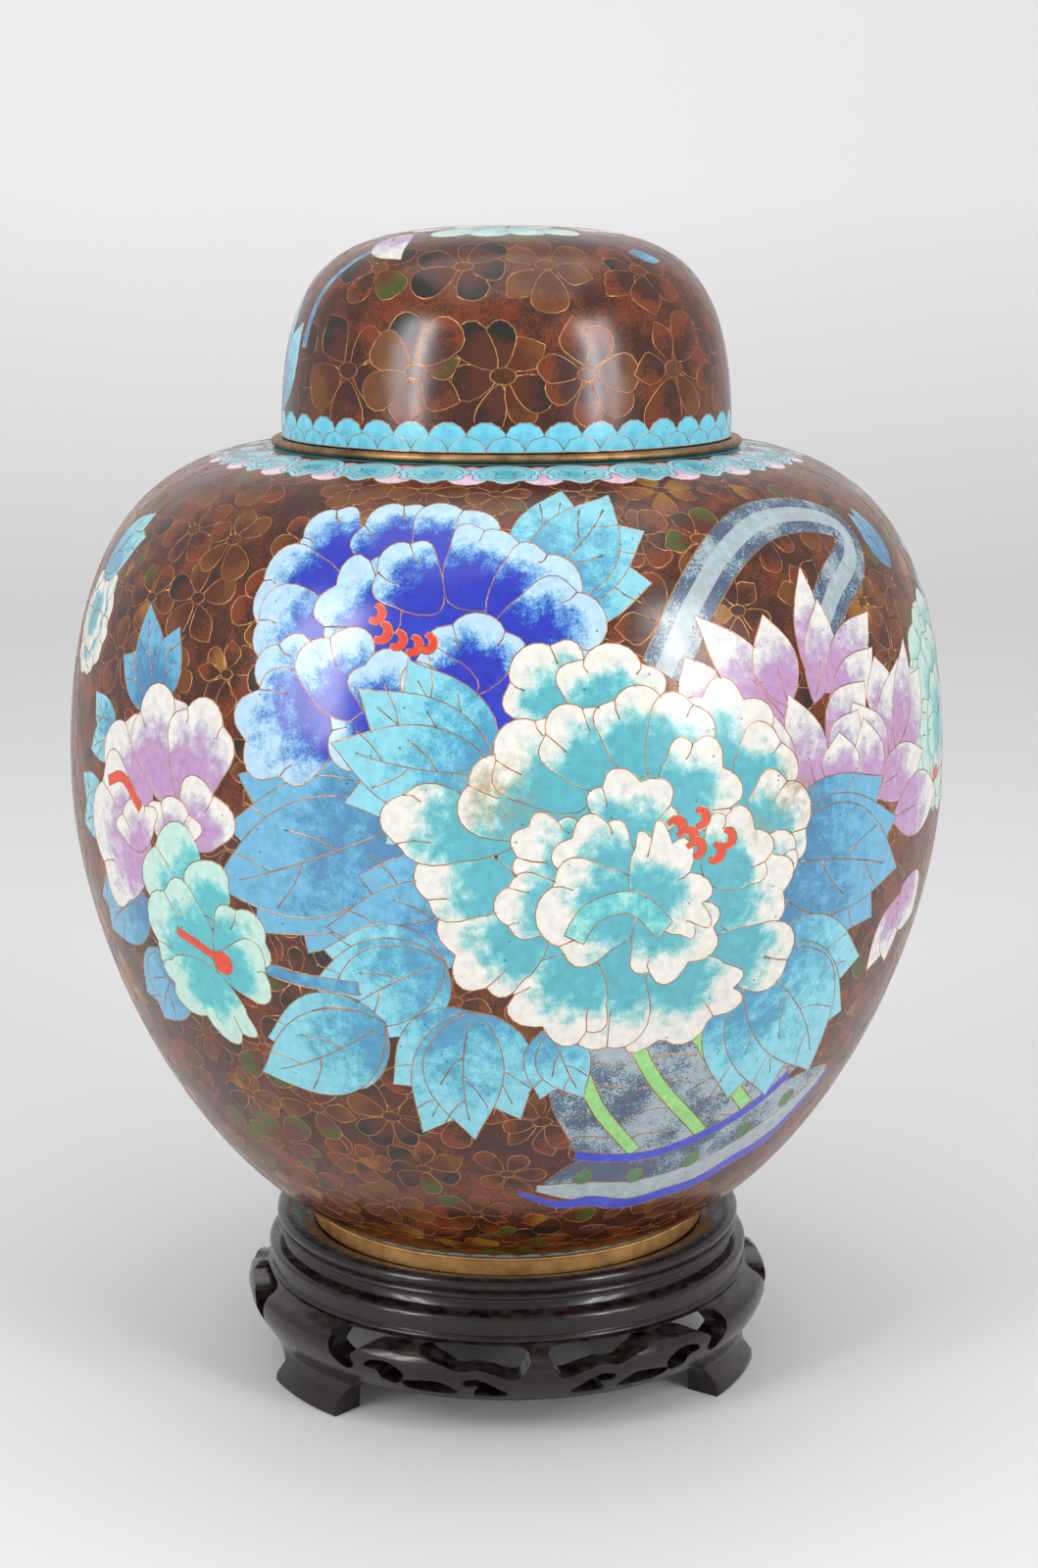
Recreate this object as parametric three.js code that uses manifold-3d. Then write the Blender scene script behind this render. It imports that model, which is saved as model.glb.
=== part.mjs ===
// A lidded enamelled jar standing on a round, pierced hardwood stand with three feet.
// Millimetres, +Z up. The origin is on the floor under the middle of the stand, and -Y is the front.
// An angle round the object starts at -Y and grows towards +X.
import * as THREE from "three";
import { mergeVertices } from "three/addons/utils/BufferGeometryUtils.js";
import Module from "manifold-3d";

const wasm = await Module();
wasm.setup();

// Clearance between two pieces that touch, and the facets of a full turn.
const touchGap = 0.3;
const turnSides = 40;
const standSides = 42;

// Stand: rim ring, ledge below it, and the bulging apron that ends in three feet.
const standHeight = 39.3;
const wellDepth = 2.6;
const wellFit = 1;
const boardThickness = 6;
const rimWall = 7.5;
const rimWidth = 5.2;
const rimDepth = 5;
const rimLip = 1.4;
const waistInset = 2.8;
const waistHeight = 3.2;
const ledgeOverhang = 2;
const ledgeDepth = 6.6;
const ledgeEdge = 1.3;
const apronStep = 0.4;
const apronBulge = 5.5;
const apronHollow = 0.2;
const apronWall = 6.5;
const apronEdge = 11;
const toeReach = 2.8;
const toeHeight = 2.2;
const legCount = 3;
const footSpan = 24;

// Foot ring of the jar.
const footRadius = 49;
const footFlare = 1.5;
const footHeight = 4.7;
const footWall = 2.2;

// Jar body and its neck.
const jarRadius = 107;
const jarBelly = 111.3;
const jarHeight = 189.8;
const jarWall = 2.6;
const neckHeight = 14;

// Lid and the metal rim under it.
const lidRadius = 54.4;
const lidHeight = 49.5;
const lidWall = 2.4;
const lidFit = 1;
const lidRimReach = 2.6;
const lidRimHeight = 1.8;
const lidRimRound = 0.5;
const shoulderLand = 1;
const shoulderDrop = 2.9;

// Heights that follow from the sizes above.
const wellFloor = standHeight - wellDepth;
const footBase = wellFloor + touchGap;
const footTop = footBase + footHeight;
const jarBase = footTop + touchGap;
const shoulderTop = jarBase + jarHeight;
const neckRadius = lidRadius - lidWall - lidFit;
const lidRimRadius = lidRadius + lidRimReach;
const lidRimBase = shoulderTop + touchGap;
const lidBase = lidRimBase + lidRimHeight + touchGap;

const point = (radius, height) => new THREE.Vector2(radius, height);

// A cubic curve between two profile points, given its two handles.
function bend(a, b, c, d, steps) {
  return new THREE.CubicBezierCurve(a, b, c, d).getPoints(steps);
}

// The same line moved to its left by a distance, as the inner face of a wall.
function offset(line, distance) {
  return line.map((p, i) => {
    const before = line[Math.max(i - 1, 0)];
    const after = line[Math.min(i + 1, line.length - 1)];
    const along = after.clone().sub(before).normalize();
    return point(p.x - along.y * distance, p.y + along.x * distance);
  });
}

// Turns a profile about Z, with the profile's height along Z.
function turned(profile, sides = turnSides) {
  return new THREE.LatheGeometry(profile, sides).rotateX(Math.PI / 2);
}

// Three.js geometry to a solid that can be cut, and back.
function solidOf(geometry) {
  const bare = geometry.clone();
  bare.deleteAttribute("normal");
  bare.deleteAttribute("uv");
  const merged = mergeVertices(bare, 1e-3);
  return new wasm.Manifold(
    new wasm.Mesh({
      numProp: 3,
      vertProperties: merged.attributes.position.array,
      triVerts: new Uint32Array(merged.index.array),
    }),
  );
}

function geometryOf(solid) {
  const mesh = solid.getMesh();
  const geometry = new THREE.BufferGeometry();
  geometry.setAttribute("position", new THREE.BufferAttribute(mesh.vertProperties, 3));
  geometry.setIndex(new THREE.BufferAttribute(mesh.triVerts, 1));
  return geometry;
}

// Outer line of the jar from its base up to the shoulder, where the neck begins.
const belly = point(jarRadius, jarBase + jarBelly);
const shoulder = point(lidRimRadius + shoulderLand, shoulderTop);
const footSeat = point(footRadius + footFlare, jarBase);

function jarOutline(lowerSteps, upperSteps) {
  const riseFromFoot = point(footSeat.x + 0.64 * (jarRadius - footSeat.x), jarBase + 0.2 * jarBelly);
  const below = point(jarRadius, belly.y - 0.31 * jarBelly);
  const above = point(jarRadius, belly.y + 0.59 * (shoulderTop - belly.y));
  const overShoulder = point(shoulder.x + 0.74 * (jarRadius - shoulder.x), shoulderTop - shoulderDrop);
  const lower = bend(footSeat, riseFromFoot, below, belly, lowerSteps);
  const upper = bend(belly, above, overShoulder, shoulder, upperSteps);
  return [...lower, ...upper.slice(1)];
}

function jarBody() {
  const outer = jarOutline(10, 9);
  const inner = offset(jarOutline(5, 5), jarWall).reverse();
  const neckTop = shoulderTop + neckHeight;
  const profile = [
    point(0, jarBase),
    ...outer,
    point(neckRadius, shoulderTop),
    point(neckRadius, neckTop),
    point(neckRadius - jarWall, neckTop),
    point(neckRadius - jarWall, shoulderTop - jarWall),
    ...inner,
    point(0, inner[inner.length - 1].y),
  ];
  return turned(profile);
}

function footRing() {
  const inner = footRadius - footWall;
  return turned([
    point(inner, footBase),
    point(footRadius, footBase),
    point(footRadius + 0.3 * footFlare, footBase + 0.5 * footHeight),
    point(footRadius + footFlare, footTop),
    point(inner + footFlare, footTop),
    point(inner, footBase),
  ]);
}

// Outer line of the lid from its lower edge to the middle of its crown.
function lidOutline(radius, top, steps) {
  const edge = point(radius, lidBase);
  const sideHandle = point(radius, lidBase + 0.92 * (top - lidBase));
  const crownHandle = point(0.686 * radius, top);
  return bend(edge, sideHandle, crownHandle, point(0, top), steps);
}

function lidDome() {
  const top = lidBase + lidHeight;
  return turned([
    ...lidOutline(lidRadius, top, 10),
    ...lidOutline(lidRadius - lidWall, top - lidWall, 6).reverse(),
    point(lidRadius, lidBase),
  ]);
}

function lidRim() {
  const inner = neckRadius + lidFit;
  const top = lidRimBase + lidRimHeight;
  return turned([
    point(inner, lidRimBase),
    point(lidRimRadius - lidRimRound, lidRimBase),
    point(lidRimRadius, lidRimBase + 0.5 * lidRimHeight),
    point(lidRimRadius - lidRimRound, top),
    point(inner, top),
    point(inner, lidRimBase),
  ]);
}

// Profile of the stand with its apron left whole, from the underside of the board to the well.
const rimBase = standHeight - rimDepth;
const ledgeTop = rimBase - waistHeight;
const ledgeBase = ledgeTop - ledgeDepth;
const panelTop = ledgeBase - apronStep;
const boardBase = wellFloor - boardThickness;
const wellRadius = footRadius + footFlare + wellFit;
const rimRadius = wellRadius + rimWall;
const waistRadius = rimRadius - waistInset;
const ledgeRadius = rimRadius + ledgeOverhang;
const apronRadius = ledgeRadius + apronBulge;
const apronWaist = ledgeRadius + apronHollow;
const toeRadius = ledgeRadius + toeReach;

// The apron's outer line, as a share of its bulge outwards and of its height downwards.
const toeRise = 0.14;
function apronLine() {
  const height = panelTop - toeHeight;
  const place = (out, down) => point(ledgeRadius + out * apronBulge, panelTop - down * height);
  return new THREE.SplineCurve([
    place(0, 0),
    place(0.78, 0.09),
    place(1, 0.23),
    place(0.75, 0.43),
    point(apronWaist, panelTop - 0.71 * height),
    point(apronWaist, toeHeight + toeRise * height),
  ]).getPoints(8);
}

function standOutline() {
  return [
    point(ledgeRadius - ledgeEdge, ledgeTop),
    point(ledgeRadius, ledgeTop - ledgeEdge),
    point(ledgeRadius, ledgeBase),
    ...apronLine(),
    point(toeRadius, toeHeight),
    point(toeRadius, 0),
  ];
}

function standBlank() {
  const outer = standOutline();
  const height = panelTop - toeHeight;
  const innerWall = [
    point(toeRadius - apronWall - toeHeight, 0),
    point(apronWaist - apronWall, toeHeight + toeRise * height),
    point(apronWaist - apronWall, panelTop - 0.64 * height),
    point(apronRadius - apronWall, panelTop - 0.2 * height),
    point(ledgeRadius - apronWall, ledgeBase),
    point(ledgeRadius - apronWall, boardBase),
  ];
  const rim = [
    point(waistRadius, ledgeTop),
    point(waistRadius, rimBase),
    point(rimRadius - 0.5 * rimLip, rimBase),
    point(rimRadius, rimBase + 0.4 * rimDepth),
    point(rimRadius - 0.25 * rimLip, standHeight - rimLip),
    point(rimRadius - rimLip, standHeight - 0.15 * rimLip),
    point(rimRadius - 1.9 * rimLip, standHeight),
    point(rimRadius - rimWidth, standHeight - rimLip),
    point(wellRadius, wellFloor + 0.4 * wellDepth),
    point(wellRadius, wellFloor),
  ];
  return turned(
    [
      point(0, boardBase),
      ...innerWall.reverse(),
      ...outer.reverse(),
      ...rim,
      point(0, wellFloor),
    ],
    standSides,
  );
}

// Wraps a flat cutter round the apron: its x is degrees, its y is height, and its z is radius.
function wrapped(geometry, turn) {
  const place = geometry.attributes.position;
  for (let i = 0; i < place.count; i++) {
    const angle = THREE.MathUtils.degToRad(place.getX(i) + turn);
    const radius = place.getZ(i);
    place.setXYZ(i, radius * Math.sin(angle), -radius * Math.cos(angle), place.getY(i));
  }
  return geometry;
}

// A cutter starts inside the apron and ends outside it by the same reach.
const cutReach = 6;
function cutter(shape, turn) {
  const start = ledgeRadius - apronWall - cutReach;
  const depth = apronRadius + cutReach - start;
  const flat = new THREE.ExtrudeGeometry(shape, { depth, bevelEnabled: false, curveSegments: 4 });
  return solidOf(wrapped(flat.translate(0, 0, start), turn));
}

// The pierced openings of one panel, on its right half; side -1 mirrors them to the left.
const halfPanel = 180 / legCount - footSpan / 2;
const at = (share, height) => [share * halfPanel, apronEdge + height * (panelTop - apronEdge)];
const openings = [
  // between the middle pin and the leaf, over the wave of the scroll
  [at(0.07, 0.98), at(0.07, 0.6), at(0.13, 0.5), at(0.2, 0.62), at(0.29, 0.68), at(0.38, 0.55), at(0.43, 0.6), at(0.45, 0.98)],
  // between the leaf and the leg, turning down as a hook
  [at(0.58, 0.98), at(0.6, 0.78), at(0.7, 0.85), at(0.8, 0.8), at(0.86, 0.62), at(0.84, 0.35), at(0.9, 0.3), at(0.99, 0.55), at(0.99, 0.8), at(0.93, 0.98)],
  // comma under the first wave
  [at(0.14, 0.14), at(0.2, 0.38), at(0.27, 0.52), at(0.34, 0.45), at(0.31, 0.34), at(0.27, 0.36), at(0.3, 0.14)],
  // sickle between the two scrolls
  [at(0.37, 0.14), at(0.4, 0.32), at(0.46, 0.4), at(0.55, 0.36), at(0.62, 0.3), at(0.58, 0.14)],
  // comma inside the hook
  [at(0.64, 0.22), at(0.6, 0.48), at(0.68, 0.66), at(0.77, 0.62), at(0.79, 0.46), at(0.72, 0.44), at(0.72, 0.3)],
];

function openingShape(points, side) {
  const line = points.map(([x, y]) => point(side * x, y));
  return new THREE.Shape(side > 0 ? line.reverse() : line);
}

// Height of the apron's lower edge above the floor, at an angle from the panel's middle.
// It curves down over the last share of the way to a foot.
const edgeBend = 0.16;
const edgeDrop = 0.55;
function underEdge(angle) {
  const share = (Math.abs(angle) / halfPanel - 1 + edgeBend) / edgeBend;
  const reach = THREE.MathUtils.clamp(share, 0, 1);
  return apronEdge * (1 - edgeDrop * reach * reach);
}

// The space under the apron between two feet, cut in short stretches that follow the curve.
function underCuts(turn) {
  const cuts = 6;
  const steps = 3;
  const overlap = 0.2;
  const below = -toeHeight;
  const width = (2 * halfPanel) / cuts;
  return Array.from({ length: cuts }, (_, i) => {
    const from = -halfPanel + i * width;
    const to = from + width + (i < cuts - 1 ? overlap : 0);
    const edge = Array.from({ length: steps + 1 }, (_, k) => {
      const angle = to + ((from - to) * k) / steps;
      return point(angle, underEdge(angle));
    });
    return cutter(new THREE.Shape([point(from, below), point(to, below), ...edge]), turn);
  });
}

function stand() {
  let body = solidOf(standBlank());
  for (let leg = 0; leg < legCount; leg++) {
    const turn = (360 / legCount) * leg;
    const cuts = underCuts(turn);
    for (const side of [1, -1]) {
      cuts.push(...openings.map((points) => cutter(openingShape(points, side), turn)));
    }
    for (const cut of cuts) {
      body = body.subtract(cut);
    }
  }
  return geometryOf(body);
}

function piece(name, geometry, color, roughness, metalness) {
  const material = new THREE.MeshStandardMaterial({ color, roughness, metalness });
  const mesh = new THREE.Mesh(geometry, material);
  mesh.name = name;
  return mesh;
}

const jarOnStand = new THREE.Group();
jarOnStand.add(
  piece("stand", stand(), 0x2a1a1a, 0.25, 0),
  piece("foot_ring", footRing(), 0xb58a4a, 0.35, 1),
  piece("jar", jarBody(), 0x5a2a1c, 0.2, 0),
  piece("lid_rim", lidRim(), 0x9a7440, 0.35, 1),
  piece("lid", lidDome(), 0x5a2a1c, 0.2, 0),
);

export default jarOnStand;
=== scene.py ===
import math
import random

import bmesh
import bpy
import numpy as np
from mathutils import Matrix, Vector
from mathutils.geometry import delaunay_2d_cdt


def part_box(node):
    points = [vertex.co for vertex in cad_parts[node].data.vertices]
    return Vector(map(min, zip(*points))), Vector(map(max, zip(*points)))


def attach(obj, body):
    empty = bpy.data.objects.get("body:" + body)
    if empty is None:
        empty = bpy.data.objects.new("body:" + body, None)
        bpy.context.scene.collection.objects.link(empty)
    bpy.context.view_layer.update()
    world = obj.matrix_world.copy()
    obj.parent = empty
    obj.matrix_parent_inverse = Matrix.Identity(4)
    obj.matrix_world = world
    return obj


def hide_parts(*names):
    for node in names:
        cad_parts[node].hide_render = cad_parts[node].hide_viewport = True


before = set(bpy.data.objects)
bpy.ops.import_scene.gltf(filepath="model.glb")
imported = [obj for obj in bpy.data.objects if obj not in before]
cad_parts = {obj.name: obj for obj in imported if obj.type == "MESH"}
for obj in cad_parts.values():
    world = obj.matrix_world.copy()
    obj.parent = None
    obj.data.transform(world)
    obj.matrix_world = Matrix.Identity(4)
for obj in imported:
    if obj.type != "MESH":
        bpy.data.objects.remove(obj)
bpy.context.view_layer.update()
random.seed(11)

# Lengths are in millimetres until a mesh is made.
mm = 0.001
box = {}
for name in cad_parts:
    box[name] = [[value / mm for value in corner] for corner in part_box(name)]


def linear(colour):
    colour = [value / 255 for value in colour]
    return [value / 12.92 if value < 0.04045 else ((value + 0.055) / 1.055) ** 2.4 for value in colour]


def bezier(a, b, c, d, count=260):
    t = np.linspace(0, 1, count)[:, None]
    a, b, c, d = (np.array(p, float) for p in (a, b, c, d))
    return (1 - t) ** 3 * a + 3 * (1 - t) ** 2 * t * b + 3 * (1 - t) * t ** 2 * c + t ** 3 * d


# Node trees

def makeMaterial(name):
    material = bpy.data.materials.new(name)
    material.use_nodes = True
    tree = material.node_tree
    return material, tree, tree.nodes["Principled BSDF"]


def addNode(tree, kind, values=None, **settings):
    node = tree.nodes.new("ShaderNode" + kind)
    for key, value in settings.items():
        setattr(node, key, value)
    for key, value in (values or {}).items():
        if isinstance(value, bpy.types.NodeSocket):
            tree.links.new(value, node.inputs[key])
        else:
            node.inputs[key].default_value = value
    return node


def noise(tree, scale, detail=2, stretch=(1, 1, 1), roughness=0.5):
    place = addNode(tree, "TexCoord")
    mapped = addNode(tree, "Mapping", {"Vector": place.outputs["Object"], "Scale": stretch})
    values = {"Vector": mapped.outputs[0], "Scale": scale, "Detail": detail, "Roughness": roughness}
    return addNode(tree, "TexNoise", values).outputs["Fac"]


def ramp(tree, value, stops):
    node = addNode(tree, "ValToRGB", {"Fac": value})
    steps = node.color_ramp.elements
    while len(steps) < len(stops):
        steps.new(0.5)
    for step, (place, colour) in zip(steps, stops):
        step.position = place
        step.color = [*colour, 1]
    return node.outputs["Color"]


def spread(tree, value, low, high, to=(0, 1)):
    values = {"Value": value, "From Min": low, "From Max": high, "To Min": to[0], "To Max": to[1]}
    return addNode(tree, "MapRange", values).outputs[0]


def maths(tree, what, a, b):
    return addNode(tree, "Math", {0: a, 1: b}, operation=what).outputs[0]


def blendOf(tree, amount, a, b):
    node = addNode(tree, "Mix", data_type="RGBA")
    for key, value in (("Factor", amount), ("A", a), ("B", b)):
        socket = [s for s in node.inputs if s.name == key and (key == "Factor" or s.type == "RGBA")][0]
        if isinstance(value, bpy.types.NodeSocket):
            tree.links.new(value, socket)
        else:
            socket.default_value = value
    return [s for s in node.outputs if s.type == "RGBA"][0]


def bump(tree, height, distance, strength):
    values = {"Height": height, "Distance": distance, "Strength": strength}
    return addNode(tree, "Bump", values).outputs[0]


def enamelMaterial(stains):
    material, tree, shader = makeMaterial("enamel")
    deep = addNode(tree, "Attribute", attribute_name="deep")
    pale = addNode(tree, "Attribute", attribute_name="pale")
    blend = addNode(tree, "Attribute", attribute_name="blend")
    # the two ground enamels of a cell meet in a sandy band, not in a clean line
    sand = spread(tree, noise(tree, 1900, 3, roughness=0.7), 0.28, 0.72, (-0.5, 0.5))
    cloud = spread(tree, noise(tree, 260, 2), 0.3, 0.7, (-0.13, 0.13))
    drift = spread(tree, noise(tree, 85, 2), 0.34, 0.66, (-0.34, 0.34))
    shift = maths(tree, "MULTIPLY", maths(tree, "ADD", sand, drift), deep.outputs["Alpha"])
    place = maths(tree, "ADD", maths(tree, "ADD", blend.outputs["Fac"], shift), cloud)
    values = {"Value": place, "From Min": 0.35, "From Max": 0.8}
    share = addNode(tree, "MapRange", values, interpolation_type="SMOOTHSTEP")
    # red comes last, so the middle tones stay clean blue and green
    slow = maths(tree, "POWER", share.outputs[0], 1.8)
    shares = addNode(tree, "CombineXYZ", {"X": slow, "Y": share.outputs[0], "Z": share.outputs[0]})
    values = {0: pale.outputs["Color"], 1: deep.outputs["Color"]}
    way = addNode(tree, "VectorMath", values, operation="SUBTRACT")
    values = {0: way.outputs[0], 1: shares.outputs[0], 2: deep.outputs["Color"]}
    colour = addNode(tree, "VectorMath", values, operation="MULTIPLY_ADD").outputs[0]
    # uneven firing and small dark pits
    tone = spread(tree, noise(tree, 520, 3), 0.25, 0.75, (0.86, 1.1))
    toned = addNode(tree, "VectorMath", {0: colour}, operation="SCALE")
    tree.links.new(tone, toned.inputs["Scale"])
    pits = addNode(tree, "TexVoronoi", {"Scale": 240.0})
    tree.links.new(addNode(tree, "TexCoord").outputs["Object"], pits.inputs["Vector"])
    pit = spread(tree, pits.outputs["Distance"], 0.05, 0.075, (1, 0))
    pitted = blendOf(tree, maths(tree, "MULTIPLY", pit, 0.75), toned.outputs[0], (0.02, 0.03, 0.05, 1))
    here = addNode(tree, "TexCoord").outputs["Object"]
    blotch = spread(tree, noise(tree, 330, 4, roughness=0.7), 0.42, 0.62)
    for place, reach, strength in stains:
        away = addNode(tree, "VectorMath", {0: here, 1: place}, operation="DISTANCE").outputs["Value"]
        amount = maths(tree, "MULTIPLY", spread(tree, away, 0.25 * reach, reach, (strength, 0)), blotch)
        pitted = blendOf(tree, amount, pitted, (*linear((150, 132, 78)), 1))
    tree.links.new(pitted, shader.inputs["Base Color"])
    rough = spread(tree, noise(tree, 90, 3), 0.3, 0.7, (0.16, 0.26))
    tree.links.new(rough, shader.inputs["Roughness"])
    shader.inputs["IOR"].default_value = 1.56
    wave = bump(tree, noise(tree, 60, 2), 0.0006, 0.25)
    tree.links.new(wave, shader.inputs["Normal"])
    return material


def brassMaterial(name, bright, dull, roughness, stretch):
    material, tree, shader = makeMaterial(name)
    worn = spread(tree, noise(tree, 160, 4, roughness=0.65), 0.35, 0.7)
    colour = blendOf(tree, worn, (*linear(bright), 1), (*linear(dull), 1))
    tree.links.new(colour, shader.inputs["Base Color"])
    shader.inputs["Metallic"].default_value = 1.0
    lines = noise(tree, 700, 3, stretch)
    tree.links.new(spread(tree, lines, 0.2, 0.8, roughness), shader.inputs["Roughness"])
    tree.links.new(bump(tree, lines, 0.00012, 0.5), shader.inputs["Normal"])
    return material


def woodMaterial():
    material, tree, shader = makeMaterial("darkHardwood")
    grain = noise(tree, 60, 4, (1, 1, 9), 0.6)
    colour = ramp(tree, grain, [
        (0.3, linear((12, 5, 6))),
        (0.55, linear((22, 9, 10))),
        (0.75, linear((38, 17, 16))),
    ])
    # dust lies where the wood faces up
    normal = addNode(tree, "NewGeometry").outputs["Normal"]
    up = addNode(tree, "SeparateXYZ", {0: normal}).outputs["Z"]
    lying = spread(tree, up, 0.6, 1.0, (0, 0.1))
    dusty = maths(tree, "MULTIPLY", lying, spread(tree, noise(tree, 300, 4), 0.4, 0.65))
    mixed = blendOf(tree, dusty, colour, (*linear((150, 138, 132)), 1))
    tree.links.new(mixed, shader.inputs["Base Color"])
    shader.inputs["Specular IOR Level"].default_value = 0.3
    tree.links.new(spread(tree, noise(tree, 400, 3), 0.3, 0.7, (0.2, 0.38)), shader.inputs["Roughness"])
    shader.inputs["Coat Weight"].default_value = 0.4
    shader.inputs["Coat Roughness"].default_value = 0.12
    tree.links.new(bump(tree, grain, 0.0003, 0.3), shader.inputs["Normal"])
    return material


# Skins: an enamelled surface of revolution and the flat disc it is drawn on.

picture = {
    "turn": math.radians(-7),  # the painted front is turned this far from the stand's front
    "rim": 180,  # corners round the edge of a skin
    "grid": 3.6,  # spacing of the corners inside a large cell
}


def makeSkin(outline, ring, crown=False):
    steps = np.hypot(*np.diff(outline, axis=0).T)
    height = np.concatenate([[0], np.cumsum(steps)])
    along = np.gradient(outline, height, axis=0)
    along /= np.hypot(*along.T)[:, None]
    if crown:
        disc = height[-1] - height  # true distance from the middle of the crown
    else:
        middle = (outline[1:, 0] + outline[:-1, 0]) / 2
        disc = 100 * np.exp(np.concatenate([[0], np.cumsum(steps / middle)]))  # keeps shapes true
    return {
        "height": height, "outline": outline, "along": along, "disc": disc,
        "ring": ring, "side": 1 if crown else -1, "cells": [], "veins": [],
    }


def toDisc(skin, sheet):
    angle = sheet[:, 0] / skin["ring"] + picture["turn"]
    radius = np.interp(sheet[:, 1], skin["height"], skin["disc"])
    return np.stack([radius * np.cos(angle), skin["side"] * radius * np.sin(angle)], 1)


def heightOf(skin, flat):
    radius = np.hypot(*flat.T)
    order = np.argsort(skin["disc"])
    return np.interp(radius, skin["disc"][order], skin["height"][order])


def toSpace(skin, flat):
    height = heightOf(skin, flat)
    angle = np.arctan2(skin["side"] * flat[:, 1], flat[:, 0])
    r, z = (np.interp(height, skin["height"], skin["outline"][:, i]) for i in (0, 1))
    ar, az = (np.interp(height, skin["height"], skin["along"][:, i]) for i in (0, 1))
    out = np.stack([az * np.sin(angle), -az * np.cos(angle), -ar], 1)
    place = np.stack([r * np.sin(angle), -r * np.cos(angle), z], 1)
    return place * mm, out


def spot(skin, degrees, height):
    return np.array([math.radians(degrees) * skin["ring"], height])


def spots(skin, points):
    return [spot(skin, degrees, height) for degrees, height in points]


def heading(degrees):
    return np.array([math.cos(math.radians(degrees)), math.sin(math.radians(degrees))])


# Shapes of the cells, each a closed line

def alongLine(base, tip):
    way = np.array(tip, float) - base
    length = np.hypot(*way)
    way = way / length
    return way, np.array([way[1], -way[0]]), length


def leafLine(base, tip, width, bow=0.0, full=0.85, steps=13):
    way, across, length = alongLine(base, tip)
    u = np.linspace(0, 1, steps)[:, None]
    half = width / 2 * np.sin(np.pi * u ** full) ** 0.85 * (1 - 0.5 * u ** 7)
    spine = base + way * length * u + across * bow * length * 4 * u * (1 - u)
    right = spine + across * half
    left = spine - across * half
    return np.concatenate([right, left[-2:0:-1]]), spine


def petalLine(base, tip, width, lobes=0, depth=0.0, narrow=0.32):
    way, across, length = alongLine(base, tip)
    count = 16 + 7 * lobes
    turn = np.linspace(0, 2 * np.pi, count, endpoint=False)[:, None]
    side = width / 2 * np.sin(turn) * (1 - narrow * np.cos(turn))
    rise = length * (1 - np.cos(turn)) / 2
    notches = []
    if lobes:
        fan = 1.24
        share = (turn - np.pi * (1 - fan / 2)) / (np.pi * fan) * lobes
        fade = np.clip(1.08 - (np.abs(turn / np.pi - 1) / (fan / 2)) ** 6, 0, 1)
        push = depth * (np.abs(np.sin(np.pi * share)) - 0.7) * fade
        reach = np.hypot(side, rise - length / 2)
        side = side + push * side / reach
        rise = rise + push * (rise - length / 2) / reach
        for k in range(1, lobes):
            notches.append(int(np.argmin(np.abs(share[:, 0] - k))))
    line = base + across * side + way * rise
    cuts = []
    for k in notches:
        inward = base + (line[k] - base) * random.uniform(0.62, 0.86)
        middle = (line[k] + inward) / 2 + across * random.uniform(-0.03, 0.03) * length
        cuts.append(np.array([line[k], middle, inward]))
    return line, cuts


def ribbonLine(points, width, ends=1.0):
    points = smoothLine(points)
    run = np.linspace(0, 1, len(points))[:, None]
    width = width * (ends + (1 - ends) * np.minimum(1, 5 * np.minimum(run, 1 - run)))
    way = np.gradient(points, axis=0)
    way /= np.hypot(*way.T)[:, None]
    across = np.stack([way[:, 1], -way[:, 0]], 1) * width / 2
    return np.concatenate([points + across, (points - across)[::-1]])


def smoothLine(points, parts=6):
    points = [np.array(p, float) for p in points]
    points = [2 * points[0] - points[1], *points, 2 * points[-1] - points[-2]]
    made = []
    for a, b, c, d in zip(points, points[1:], points[2:], points[3:]):
        for k in range(parts):
            t = k / parts
            straight = 2 * b + (c - a) * t
            bent = straight + (2 * a - 5 * b + 4 * c - d) * t * t
            made.append(0.5 * (bent + (3 * b - a - 3 * c + d) * t ** 3))
    made.append(points[-2])
    return np.array(made)


def roundLine(centre, radius, corners=12):
    return np.array([centre + radius * heading(360 * k / corners) for k in range(corners)])


def crescentLine(centre, radius, turn):
    outer = [centre + radius * heading(turn + 150 * (k / 8 - 0.5) * 1.5) for k in range(9)]
    back = 0.35 * heading(turn)
    inner = [centre + radius * (0.5 * heading(turn + 200 * (k / 5 - 0.5)) - back) for k in range(6)]
    return np.array(outer + inner[::-1])


# Laying cells on a skin, lowest first

def lay(skin, line, enamel, base=None, tip=None, veins=(), wired=True):
    line = np.array(line, float)
    line[:, 1] = np.clip(line[:, 1], 0.05, skin["height"][-1] - 0.05)
    flat = toDisc(skin, line)
    ends = line.mean(0) if base is None else base, line[0] if tip is None else tip
    ends = toDisc(skin, np.array(ends, float))
    x, y = flat.T
    if np.sum(x * np.roll(y, -1) - np.roll(x, -1) * y) < 0:
        flat = flat[::-1]
    skin["cells"].append({
        "line": flat, "enamel": enamel, "base": ends[0], "tip": ends[1],
        "flat": base is None, "wired": wired,
    })
    for vein in veins:
        skin["veins"].append((len(skin["cells"]) - 1, toDisc(skin, np.array(vein, float))))


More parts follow.
